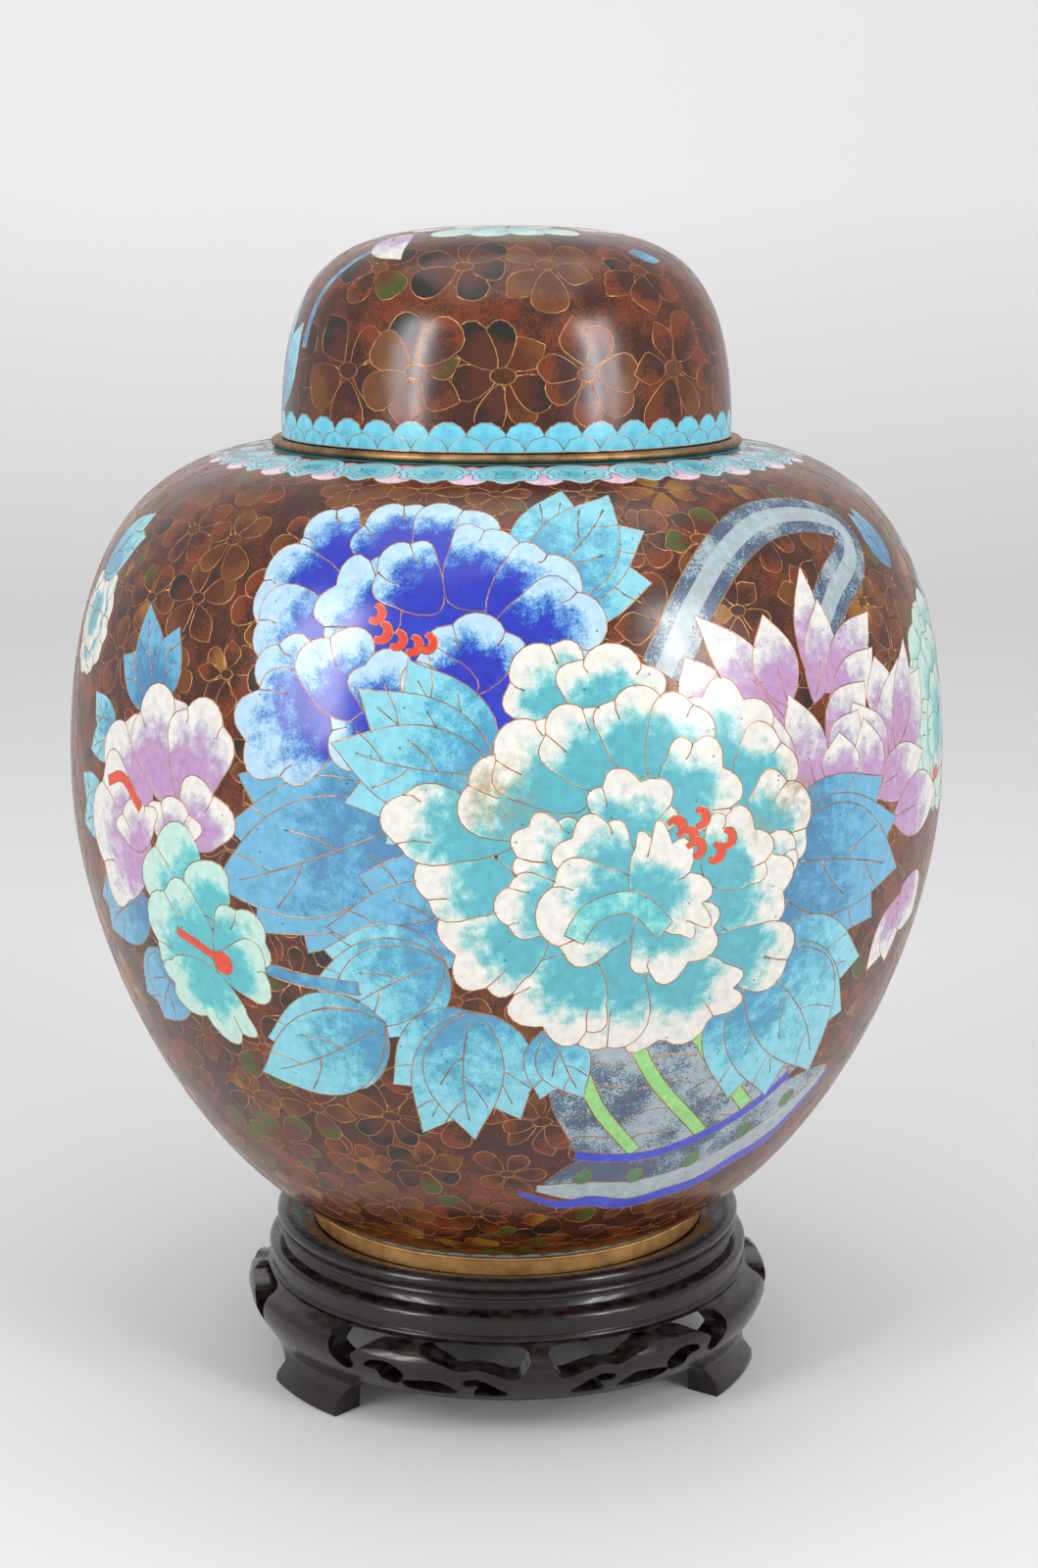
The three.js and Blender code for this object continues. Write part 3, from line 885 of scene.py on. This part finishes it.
def makeShell(name, skin, strips, material):
    # a strip is a profile that closes the skin from its lower (0) or upper (1) edge to the axis
    rim = picture["rim"]
    turns = np.linspace(0, 2 * np.pi, rim, endpoint=False)
    corners, edges = [], []
    for end in {edge for edge, _ in strips}:
        first = len(corners)
        radius = np.interp(skin["height"][-1] * end, skin["height"], skin["disc"])
        corners += [(radius * math.cos(t), skin["side"] * radius * math.sin(t)) for t in turns]
        edges += [(first + k, first + (k + 1) % rim) for k in range(rim)]
    rows = int(skin["height"][-1] / picture["grid"])
    for row in range(1, rows + 1):
        height = skin["height"][-1] * row / (rows + 0.5)
        true = np.interp(height, skin["height"], skin["outline"][:, 0])
        radius = np.interp(height, skin["height"], skin["disc"])
        count = max(6, round(2 * math.pi * true / picture["grid"]))
        for k in range(count):
            t = 2 * math.pi * (k + (row % 2) * 0.5) / count
            corners.append((radius * math.cos(t), radius * math.sin(t)))
    faces = []
    for cell in skin["cells"]:
        faces.append(list(range(len(corners), len(corners) + len(cell["line"]))))
        corners += cell["line"].tolist()
    placed = [Vector(corner) for corner in corners]
    flat, _, found, origins, _, sources = delaunay_2d_cdt(placed, edges, faces, 0, 1e-5, True)
    flat = np.array([tuple(v) for v in flat])
    ring = {}
    for k, made in enumerate(origins):
        for j in made:
            if j < rim * len(strips):
                ring[j] = k
    low = {ring[j] for j in range(rim)} if len(strips) > 1 else set()
    kept = [(t, s) for t, s in zip(found, sources) if not low.issuperset(t)]
    triangles = np.array([t for t, _ in kept])
    top = np.array([max(s) if s else -1 for _, s in kept])

    cells = skin["cells"] + [{"enamel": "ground", "base": (0, 0), "tip": (1, 0), "flat": True}]
    base, tip = (np.array([cell[key] for cell in cells]) for key in ("base", "tip"))
    fixed = np.array([cell["flat"] for cell in cells])
    away = np.linalg.norm(flat[triangles] - base[top][:, None], axis=2)
    blend = away / np.linalg.norm(tip - base, axis=1)[top][:, None]
    blend = np.where(fixed[top][:, None], 0.5, np.clip(blend, 0, 1.15))
    colours = np.array([colourRow(cell["enamel"]) for cell in cells])
    colours = np.repeat(colours[top], 3, 0)

    place, out = toSpace(skin, flat)
    places, normals, allFaces = [place], [out], triangles.tolist()
    first = len(place)
    across, forward = np.sin(turns), -np.cos(turns)
    for end, path in strips:
        path = np.array(path, float)
        way = np.gradient(path, axis=0)
        way /= np.hypot(*way.T)[:, None]
        number = 0 if len(strips) < 2 else end
        last = [ring[rim * number + j] for j in range(rim)]
        sign = 1 if end else -1
        for (r, z), (wr, wz) in zip(path, way):
            if r == 0:
                places.append(np.array([[0, 0, z]]) * mm)
                normals.append(np.array([[0, 0, 1.0 if end else -1.0]]))
                here = [first] * rim
                first += 1
            else:
                places.append(np.stack([r * across, r * forward, np.full(rim, z)], 1) * mm)
                normals.append(sign * np.stack([wz * across, wz * forward, np.full(rim, -wr)], 1))
                here = list(range(first, first + rim))
                first += rim
            for k in range(rim):
                n = (k + 1) % rim
                quad = [last[k], last[n], here[n], here[k]][::sign]
                allFaces.append([v for i, v in enumerate(quad) if v != quad[i - 1]])
            last = here
    made = meshObject(name, np.concatenate(places), allFaces)
    mesh = made.data
    loops = len(mesh.loops)
    lining = np.array(colourRow("lining"))
    colours = np.concatenate([colours, np.tile(lining, (loops - len(colours), 1))])
    blend = np.concatenate([blend.ravel(), np.full(loops - blend.size, 0.5)])
    for key, part in (("deep", colours[:, :4]), ("pale", colours[:, 4:])):
        layer = mesh.color_attributes.new(name=key, type="FLOAT_COLOR", domain="CORNER")
        layer.data.foreach_set("color", part.ravel())
    mesh.attributes.new("blend", "FLOAT", "CORNER").data.foreach_set("value", blend)
    mesh.normals_split_custom_set_from_vertices(np.concatenate(normals))
    mesh.materials.append(material)
    print(name, "faces", len(allFaces), "cells", len(skin["cells"]))
    return made


def finishPiece(piece, node):
    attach(piece, "root")
    if node:
        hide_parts(node)


# The jar

print("jar")
wire = brassMaterial("wire", (196, 142, 94), (148, 100, 62), (0.24, 0.42), (1, 1, 1))
jar = {
    "foot": box["foot_ring"][1][0],
    "base": box["jar"][0][2],
    "radius": box["jar"][1][0],
    "belly": 111.3,
    "shoulder": box["lid_rim"][1][0] + 1,
    "top": box["lid_rim"][0][2] - 0.3,
    "neck": box["lid_rim"][1][0] - 6,
    "lip": box["jar"][1][2],
    "wall": 2.6,
}


def jarOutline(inset=0.0):
    foot = (jar["foot"], jar["base"])
    middle = (jar["radius"], jar["base"] + jar["belly"])
    end = (jar["shoulder"], jar["top"])
    wide = jar["radius"]
    lower = bezier(foot, (foot[0] + 0.64 * (wide - foot[0]), foot[1] + 0.2 * jar["belly"]),
                   (wide, middle[1] - 0.31 * jar["belly"]), middle)
    upper = bezier(middle, (wide, middle[1] + 0.59 * (end[1] - middle[1])),
                   (end[0] + 0.74 * (wide - end[0]), end[1] - 2.9), end)
    line = np.concatenate([lower, upper[1:]])
    if inset:
        way = np.gradient(line, axis=0)
        way /= np.hypot(*way.T)[:, None]
        line = line + np.stack([-way[:, 1], way[:, 0]], 1) * inset
    return line


jarSkin = makeSkin(jarOutline(), jar["radius"])
stained = np.array([spot(jarSkin, -1, 143), spot(jarSkin, 36, 139), spot(jarSkin, 31, 133)])
stained = toSpace(jarSkin, toDisc(jarSkin, stained))[0]
enamel = enamelMaterial([(stained[0], 0.011, 0.75), (stained[1], 0.009, 0.7), (stained[2], 0.006, 0.5)])
layPicture(jarSkin)
layBack(jarSkin)
layScallops(jarSkin, 56, 0.6, 3.1, "scallop")
layShoulder(jarSkin)
motifs = layGround(jarSkin, 18.4, 9.8, 13, 214)
joinGround(jarSkin, motifs)
inner = jarOutline(jar["wall"])[::-1][::16]
neck = jar["neck"]
wall = jar["wall"]
rest = [
    (neck + 0.8, jar["top"]), (neck, jar["top"] + 0.8),
    (neck, jar["lip"] - 0.8), (neck - 0.4, jar["lip"]),
    (neck - wall + 0.4, jar["lip"]), (neck - wall, jar["lip"] - 0.8),
    (neck - wall, jar["top"] - wall + 0.8), *[tuple(p) for p in inner], (0, inner[-1][1]),
]
underside = [(jar["foot"] - 1.5, jar["base"]), (0, jar["base"])]
jarPiece = makeShell("jar_enamel", jarSkin, [(0, underside), (1, rest)], enamel)
finishPiece(jarPiece, "jar")
jarWires = makeWires("jar_wires", jarSkin, 0.58, 0.05, wire)
finishPiece(jarWires, None)

# The lid

print("lid")
lid = {"radius": box["lid"][1][0], "base": box["lid"][0][2], "top": box["lid"][1][2], "wall": 2.4}


def lidOutline(inset=0.0):
    radius, top = lid["radius"] - inset, lid["top"] - inset
    rise = lid["base"] + 0.92 * (top - lid["base"])
    return bezier((radius, lid["base"]), (radius, rise), (0.686 * radius, top), (0, top))


lidLeaves = [
    (47, 49, 60, 45, 5, 0), (100, 60, 112, 36, 12, 0), (200, 60, 186, 34, 13, 0), (250, 62, 262, 38, 12, 0),
]
crownLilac = [
    (-66, 60, -36, 46, 11, 0), (75, 82, 78, 62, 38, 3), (135, 82, 135, 60, 42, 3),
    (225, 82, 222, 58, 42, 3), (-70, 82, -66, 60, 34, 2),
]
crownMint = [
    (105, 84, 106, 62, 42, 3), (180, 84, 180, 60, 46, 3), (265, 84, 262, 60, 42, 3),
    (-20, 86, -19, 57, 37, 2), (22, 86, 21, 58, 34, 2),
]


def layLid(skin):
    layScallops(skin, 39, 2.0, 4.9, "scallop", 0.5)
    layScallops(skin, 39, -0.9, 4.7, "scallop")
    layRibbon(skin, [(-64, 22), (-63, 36), (-56, 48), (-48, 60)], 2.6, "deepLeaf")
    layPetals(skin, [(-82, 6, -68, 28, 13, 0), (-84, 16, -80, 36, 9, 0)], "skyLeaf")
    layPetals(skin, lidLeaves, "deepLeaf")
    layPetals(skin, crownLilac, "lilacPetal")
    layPetals(skin, crownMint, "mintPetal")
    for k in range(5):
        layPetals(skin, [(72 * k + 30, 86.5, 72 * k + 30, 73, 70, 3)], "lilacPetal")
    lay(skin, roundLine(spot(skin, 20, 87.4), 2.4), "coral")


lidSkin = makeSkin(lidOutline(), lid["radius"], True)
layLid(lidSkin)
motifs = layGround(lidSkin, 21.5, 12.6, 18, 70, (5, 7))
joinGround(lidSkin, motifs)
inner = lidOutline(lid["wall"])[::13]
rest = [
    (lid["radius"] - lid["wall"], lid["base"]), *[tuple(p) for p in inner[1:-1]],
    (0, lid["top"] - lid["wall"]),
]
lidPiece = makeShell("lid_enamel", lidSkin, [(0, rest)], enamel)
finishPiece(lidPiece, "lid")
lidWires = makeWires("lid_wires", lidSkin, 0.5, 0.05, wire)
finishPiece(lidWires, None)

# Metal rings and the stand

print("rings and stand")


def clearSelection():
    for piece in list(bpy.context.selected_objects):
        piece.select_set(False)


def turned(name, line, steps=180, closed=True):
    # the profile is spun round the axis as by hand, and its seam is merged
    points = [(r * mm, 0, z * mm) for r, z in line]
    edges = [(k, k + 1) for k in range(len(points) - 1)]
    if closed:
        edges.append((len(points) - 1, 0))
    mesh = bpy.data.meshes.new(name)
    mesh.from_pydata(points, edges, [])
    piece = bpy.data.objects.new(name, mesh)
    bpy.context.collection.objects.link(piece)
    clearSelection()
    piece.select_set(True)
    bpy.context.view_layer.objects.active = piece
    bpy.ops.object.mode_set(mode="EDIT")
    bpy.ops.mesh.select_all(action="SELECT")
    bpy.ops.mesh.spin(steps=steps, angle=2 * math.pi, center=(0, 0, 0), axis=(0, 0, 1))
    bpy.ops.mesh.select_all(action="SELECT")
    bpy.ops.mesh.remove_doubles(threshold=0.00001)
    bpy.ops.mesh.normals_make_consistent(inside=False)
    bpy.ops.object.mode_set(mode="OBJECT")
    return piece


def arcPoints(centre, radius, start, end, steps=6):
    turns = [math.radians(start + (end - start) * k / steps) for k in range(steps + 1)]
    return [(centre[0] + radius * math.cos(t), centre[1] + radius * math.sin(t)) for t in turns]


def applyModifiers(piece):
    clearSelection()
    piece.select_set(True)
    bpy.context.view_layer.objects.active = piece
    for modifier in list(piece.modifiers):
        bpy.ops.object.modifier_apply(modifier=modifier.name)


def smoothByAngle(piece, degrees):
    clearSelection()
    piece.select_set(True)
    bpy.context.view_layer.objects.active = piece
    bpy.ops.object.shade_smooth_by_angle(angle=math.radians(degrees))


def makeFootRing(material):
    low, high = box["foot_ring"][0][2], box["foot_ring"][1][2]
    out = box["foot_ring"][1][0]
    wall, flare, edge = 2.2, 0.7, 0.4
    line = [
        (out - flare - wall, low), *arcPoints((out - flare - edge, low + edge), edge, -90, 0),
        (out - flare, low + 0.45 * (high - low)), (out - 0.6, high - 0.9),
        *arcPoints((out - edge, high - edge), edge, 0, 90), (out - wall, high),
    ]
    ring = turned("foot_ring_brass", line)
    smoothByAngle(ring, 40)
    ring.data.materials.append(material)
    finishPiece(ring, "foot_ring")


def makeLidRim(material):
    # a bead rolled on the lower edge of the lid
    low, high = box["lid_rim"][0][2], box["lid_rim"][1][2]
    out, inner = box["lid_rim"][1][0], box["lid_rim"][1][0] - 5
    bead = (high - low) / 2
    line = [
        (inner, low), *arcPoints((out - bead, low + bead), bead, -90, 90, 14),
        (out - bead - 1.2, high), (inner, high),
    ]
    rim = turned("lid_rim_brass", line)
    smoothByAngle(rim, 40)
    rim.data.materials.append(material)
    finishPiece(rim, "lid_rim")


stand = {
    "well": box["foot_ring"][1][0] + 1, "floor": box["foot_ring"][0][2] - 0.3, "top": box["stand"][1][2],
    "rim": 59.0, "rimDepth": 5.0, "waist": 56.2, "waistHeight": 3.2, "lip": 1.4,
    "ledge": 61.0, "ledgeDepth": 6.6, "board": 6.0, "wall": 6.5,
    "apron": 66.5, "ankle": 61.2, "toe": 63.8, "toeHeight": 2.2,
    "legs": 3, "halfPanel": 48.0, "edge": 11.0, "step": 0.4, "worn": 0.35, "cutClearance": 6,
}


def standLine():
    s = stand
    rimBase = s["top"] - s["rimDepth"]
    ledgeTop = rimBase - s["waistHeight"]
    ledgeBase = ledgeTop - s["ledgeDepth"]
    top = ledgeBase - s["step"]
    tall = top - s["toeHeight"]
    swell = s["apron"] - s["ledge"]
    bulge = smoothLine([
        (s["ankle"], s["toeHeight"] + 0.14 * tall), (s["ankle"], top - 0.71 * tall),
        (s["ledge"] + 0.75 * swell, top - 0.43 * tall),
        (s["apron"], top - 0.23 * tall), (s["ledge"] + 0.78 * swell, top - 0.09 * tall), (s["ledge"], top),
    ], 4)
    inside = [
        (s["ledge"] - s["wall"], s["floor"] - s["board"]), (s["ledge"] - s["wall"], ledgeBase),
        (s["apron"] - s["wall"], top - 0.2 * tall), (s["ankle"] - s["wall"], top - 0.64 * tall),
        (s["ankle"] - s["wall"], s["toeHeight"] + 0.14 * tall), (s["toe"] - s["wall"] - 2.2, 0),
    ]
    ledge = [
        (s["ledge"] - 0.5, ledgeBase), *arcPoints((s["ledge"] - 0.5, ledgeBase + 0.6), 0.6, -90, 80, 5),
        (s["ledge"] - 0.6, ledgeBase + 1.5), (s["ledge"] - 0.2, ledgeBase + 1.9),
        *arcPoints((s["ledge"] - 1.4, ledgeTop - 1.4), 1.4, 0, 90), (s["waist"] + 1.2, ledgeTop),
        (s["waist"] + 0.6, ledgeTop + 0.5),
    ]
    rim = [
        *arcPoints((s["waist"] + 0.9, rimBase - 0.9), 0.9, 180, 90, 4),
        *arcPoints((s["rim"] - 0.9, rimBase + 0.8), 0.8, -90, 60, 5), (s["rim"] - 0.9, rimBase + 1.7),
        *arcPoints((s["rim"] - 1.6, s["top"] - 1.5), 1.5, -20, 90, 7), (s["rim"] - 3.4, s["top"]),
        (s["rim"] - 4.2, s["top"] - 0.5), (s["rim"] - 5.2, s["top"] - 0.6), (s["rim"] - 6.2, s["top"] - 1.2),
        (s["well"], s["floor"] + 1), (s["well"], s["floor"]), (0, s["floor"]),
    ]
    toe = [(s["toe"] - 0.4, 0), (s["toe"], 0.5), (s["toe"] - 0.3, s["toeHeight"] + 0.2)]
    return [(0, s["floor"] - s["board"]), *inside, *toe, *[tuple(p) for p in bulge], *ledge, *rim]


def openingLines():
    # pierced openings of the right half of a panel: share of the half panel, share of its height
    shares = [
        [
            (0.07, 0.98), (0.075, 0.6), (0.12, 0.5), (0.19, 0.6), (0.27, 0.68), (0.35, 0.64),
            (0.43, 0.74), (0.5, 0.82), (0.52, 0.98),
        ],
        [
            (0.6, 0.98), (0.62, 0.86), (0.7, 0.84), (0.79, 0.8), (0.86, 0.64), (0.85, 0.42),
            (0.9, 0.3), (0.97, 0.5), (0.985, 0.8), (0.93, 0.98),
        ],
        [(0.14, 0.14), (0.2, 0.36), (0.27, 0.5), (0.34, 0.44), (0.32, 0.33), (0.27, 0.34), (0.29, 0.14)],
        [(0.37, 0.14), (0.4, 0.32), (0.46, 0.4), (0.55, 0.36), (0.62, 0.29), (0.57, 0.14)],
        [(0.64, 0.22), (0.6, 0.46), (0.67, 0.65), (0.76, 0.62), (0.79, 0.48), (0.73, 0.43), (0.71, 0.28)],
    ]
    s = stand
    top = s["top"] - s["rimDepth"] - s["waistHeight"] - s["ledgeDepth"] - s["step"]
    lines = []
    for share in shares:
        line = [(x * s["halfPanel"], s["edge"] + y * (top - s["edge"])) for x, y in share]
        around = line[-1:] + line + line[:2]
        soft = smoothLine(around, 5)[5:-6]
        # rounding must not lift a line into the ledge
        soft[:, 1] = np.minimum(soft[:, 1], top - 0.05)
        lines.append(soft)
    return lines


def makeCutters():
    s = stand
    near, far = s["ledge"] - s["wall"] - s["cutClearance"], s["apron"] + s["cutClearance"]
    mesh = bmesh.new()

    def place(degrees, height, radius, turn):
        angle = math.radians(degrees + turn)
        return mesh.verts.new((radius * math.sin(angle) * mm, -radius * math.cos(angle) * mm, height * mm))

    for leg in range(s["legs"]):
        turn = 360 / s["legs"] * leg
        for line in openingLines():
            for side in (1, -1):
                inner = [place(side * x, z, near, turn) for x, z in line]
                outer = [place(side * x, z, far, turn) for x, z in line]
                count = len(line)
                mesh.faces.new(inner)
                mesh.faces.new(outer[::-1])
                for k in range(count):
                    n = (k + 1) % count
                    mesh.faces.new((inner[n], inner[k], outer[k], outer[n]))
        # the space under the apron between two feet
        stations = []
        for k in range(25):
            degrees = s["halfPanel"] * (k / 12 - 1)
            bend = max(0, (abs(degrees) / s["halfPanel"] - 0.84) / 0.16)
            height = s["edge"] * (1 - 0.55 * bend ** 2)
            section = ((-3, near), (-3, far), (height, far), (height, near))
            stations.append([place(degrees, z, r, turn) for z, r in section])
        for a, b in zip(stations, stations[1:]):
            for k in range(4):
                n = (k + 1) % 4
                mesh.faces.new((a[k], a[n], b[n], b[k]))
        mesh.faces.new(stations[0][::-1])
        mesh.faces.new(stations[-1])
    bmesh.ops.triangulate(mesh, faces=mesh.faces[:])
    bmesh.ops.recalc_face_normals(mesh, faces=mesh.faces[:])
    data = bpy.data.meshes.new("cutters")
    mesh.to_mesh(data)
    mesh.free()
    cutters = bpy.data.objects.new("cutters", data)
    bpy.context.collection.objects.link(cutters)
    return cutters


def makeStand(material):
    s = stand
    piece = turned("stand_carved", standLine(), 180, False)
    cutters = makeCutters()
    cut = piece.modifiers.new("pierced", "BOOLEAN")
    cut.object = cutters
    cut.operation = "DIFFERENCE"
    cut.solver = "MANIFOLD"
    applyModifiers(piece)
    bpy.data.objects.remove(cutters)
    soften = piece.modifiers.new("worn", "BEVEL")
    soften.width = s["worn"] * mm
    soften.segments = 2
    soften.limit_method = "ANGLE"
    soften.angle_limit = math.radians(38)
    applyModifiers(piece)
    smoothByAngle(piece, 40)
    piece.data.materials.clear()
    piece.data.materials.append(material)
    finishPiece(piece, "stand")
    print("stand faces", len(piece.data.polygons))


makeFootRing(brassMaterial("brushedBrass", (238, 190, 124), (188, 138, 84), (0.5, 0.66), (1, 1, 14)))
makeLidRim(brassMaterial("wornBrass", (178, 134, 92), (104, 74, 48), (0.32, 0.5), (1, 1, 14)))
makeStand(woodMaterial())

# Stage, light and camera

print("stage")
stage = {"reach": 1.6, "front": 1.4, "depth": 1.3, "bend": 0.5, "height": 1.6}
photo = {"focalPixels": 2831, "heightPixels": 1600}
camera = {"turn": -7, "away": 0.677, "height": 0.2887, "down": 11.8, "shift": 0.003, "sensor": 36}
lamps = {
    # name, degrees from the camera, watts
    "strips": (("leftOuter", -55, 3), ("leftInner", -45, 5), ("rightInner", 45, 5), ("rightOuter", 55, 3)),
    "stripSize": (0.13, 0.8), "stripAway": 1.2, "stripHeight": 0.62, "aim": (0, 0, 0.17),
    "overhead": 7.5, "overheadSize": (1.6, 1.6), "overheadPlace": (0, -0.1, 1.7),
    "world": (0.98, 0.98, 1.0, 1), "worldStrength": 0.6,
}


def makeStage():
    line = [(-stage["front"], 0.0), (stage["depth"], 0.0)]
    for k in range(1, 13):
        t = math.pi / 2 * k / 12
        line.append((stage["depth"] + stage["bend"] * math.sin(t), stage["bend"] * (1 - math.cos(t))))
    line.append((stage["depth"] + stage["bend"], stage["height"]))
    corners = np.array([(x, y, z) for y, z in line for x in (-stage["reach"], stage["reach"])])
    faces = [(2 * k, 2 * k + 1, 2 * k + 3, 2 * k + 2) for k in range(len(line) - 1)]
    cove = meshObject("cove", corners, faces)
    material, tree, shader = makeMaterial("paperCove")
    pale = ramp(tree, noise(tree, 3), [(0.3, (0.96, 0.955, 0.95)), (0.7, (0.98, 0.975, 0.97))])
    place = addNode(tree, "TexCoord").outputs["Object"]
    # painted light: the cove is painted darker on the floor and paler up the wall, so the wall shows
    # brighter than the lamps make it; the paper itself is one colour
    rise = spread(tree, addNode(tree, "SeparateXYZ", {0: place}).outputs["Z"], 0.0, 0.3)
    paintedWallLight = blendOf(tree, rise, (0.76, 0.755, 0.75, 1), pale)
    tree.links.new(paintedWallLight, shader.inputs["Base Color"])
    shader.inputs["Roughness"].default_value = 0.6
    cove.data.materials.append(material)


def addLight(name, power, size, place, aim):
    data = bpy.data.lights.new(name, "AREA")
    data.shape = "RECTANGLE"
    data.size, data.size_y = size
    data.energy = power
    light = bpy.data.objects.new(name, data)
    light.location = place
    light.rotation_euler = (Vector(aim) - Vector(place)).to_track_quat("-Z", "Y").to_euler()
    bpy.context.collection.objects.link(light)


def around(turn, away, height):
    angle = math.radians(camera["turn"] + turn)
    return (away * math.sin(angle), -away * math.cos(angle), height)


makeStage()
for name, turn, power in lamps["strips"]:
    place = around(turn, lamps["stripAway"], lamps["stripHeight"])
    addLight(name + "Strip", power, lamps["stripSize"], place, lamps["aim"])
addLight("overhead", lamps["overhead"], lamps["overheadSize"], lamps["overheadPlace"], (0, 0, 0))
world = bpy.data.worlds.new("studio")
world.use_nodes = True
sky = world.node_tree.nodes["Background"]
sky.inputs["Color"].default_value = lamps["world"]
sky.inputs["Strength"].default_value = lamps["worldStrength"]
bpy.context.scene.world = world

lens = bpy.data.cameras.new("camera")
lens.sensor_fit = "VERTICAL"
lens.sensor_height = camera["sensor"]
lens.sensor_width = camera["sensor"]
lens.lens = photo["focalPixels"] * camera["sensor"] / photo["heightPixels"]
view = bpy.data.objects.new("camera", lens)
turn, down = math.radians(camera["turn"]), math.radians(camera["down"])
toRight = Vector((math.cos(turn), math.sin(turn), 0))
view.location = Vector(around(0, camera["away"], camera["height"])) + toRight * camera["shift"]
ahead = Vector((-math.sin(turn) * math.cos(down), math.cos(turn) * math.cos(down), -math.sin(down)))
view.rotation_euler = ahead.to_track_quat("-Z", "Y").to_euler()
bpy.context.collection.objects.link(view)
bpy.context.scene.camera = view
bpy.context.scene.view_settings.view_transform = "Standard"

bpy.context.view_layer.update()
